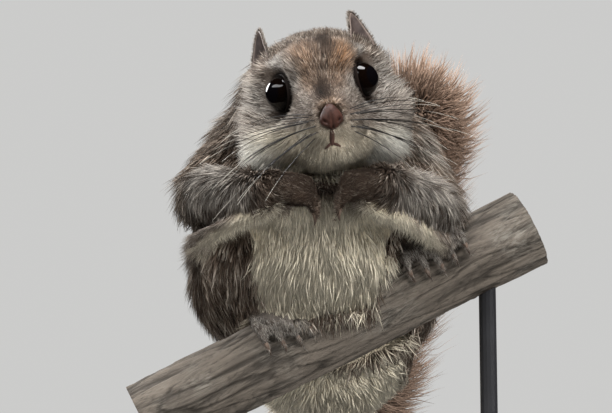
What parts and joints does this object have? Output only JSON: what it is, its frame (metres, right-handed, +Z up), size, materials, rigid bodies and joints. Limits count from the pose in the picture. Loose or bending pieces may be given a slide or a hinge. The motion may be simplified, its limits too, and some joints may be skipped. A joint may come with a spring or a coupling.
{
  "type": "giant flying squirrel model",
  "caption": "Life-size still model of a white-cheeked giant flying squirrel hunched on a cut branch, with a display stand under it.",
  "frame": {"origin": "centre of the round base's underside, on the floor", "axes": "+Z up, -Y the way the animal faces, +X to the animal's left"},
  "size_m": [0.236, 0.3101, 0.3842],
  "materials": {
    "fur_brown": "grizzled grey-brown fur",
    "fur_cream": "soft creamy white fur",
    "fur_dark": "short dark brown fur",
    "fur_tail": "long loose pinkish brown fur",
    "ear_skin": "thin dark skin with short hair",
    "nose_skin": "moist brown skin",
    "eye_gloss": "wet black-brown",
    "bark": "grey bark with pale cut ends",
    "stand_black": "satin black"
  },
  "bodies": {
    "root": {"head": "fur_brown", "neck": "fur_brown", "torso": "fur_cream", "upper_arm_left": "fur_brown", "upper_arm_right": "fur_brown", "forearm_left": "fur_brown", "forearm_right": "fur_brown", "hand_left": "fur_dark", "hand_right": "fur_dark", "thigh_left": "fur_brown", "thigh_right": "fur_brown", "shank_left": "fur_brown", "shank_right": "fur_brown", "foot_left": "fur_dark", "foot_right": "fur_dark", "patagium_left": "fur_brown", "patagium_right": "fur_brown", "tail_base": "fur_tail", "tail_middle": "fur_tail", "tail_tip": "fur_tail", "ear_left": "ear_skin", "ear_right": "ear_skin", "eye_left": "eye_gloss", "eye_right": "eye_gloss", "nose": "nose_skin", "perch": "bark", "stand_base": "stand_black", "stand_rod_left": "stand_black", "stand_rod_right": "stand_black"}
  },
  "joints": []
}
